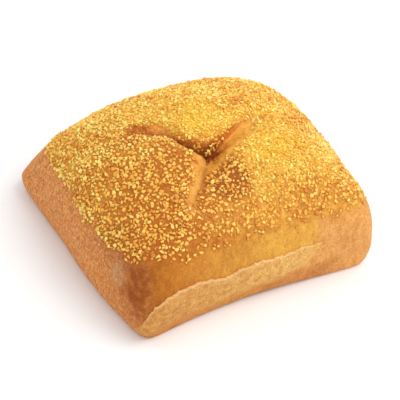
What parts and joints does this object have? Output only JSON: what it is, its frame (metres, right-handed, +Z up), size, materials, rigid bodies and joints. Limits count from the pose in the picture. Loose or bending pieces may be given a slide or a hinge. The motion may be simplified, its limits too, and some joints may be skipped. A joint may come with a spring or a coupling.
{
  "type": "square maize roll",
  "caption": "Square domed bread roll topped with coarse maize grits, its top split three ways, with a pale torn skin along the foot of its front side.",
  "frame": {"origin": "on the table under the middle of the roll's box", "axes": "+Z up, -Y out of the side with the pale torn skin, +X along that side from the sharp near corner to the plump one"},
  "size_m": [0.111, 0.0998, 0.0511],
  "materials": {
    "crust": "matt baked crust, golden on the gritted top and browner on the bare sides"
  },
  "bodies": {
    "root": {"maize_roll": "crust"}
  },
  "joints": []
}
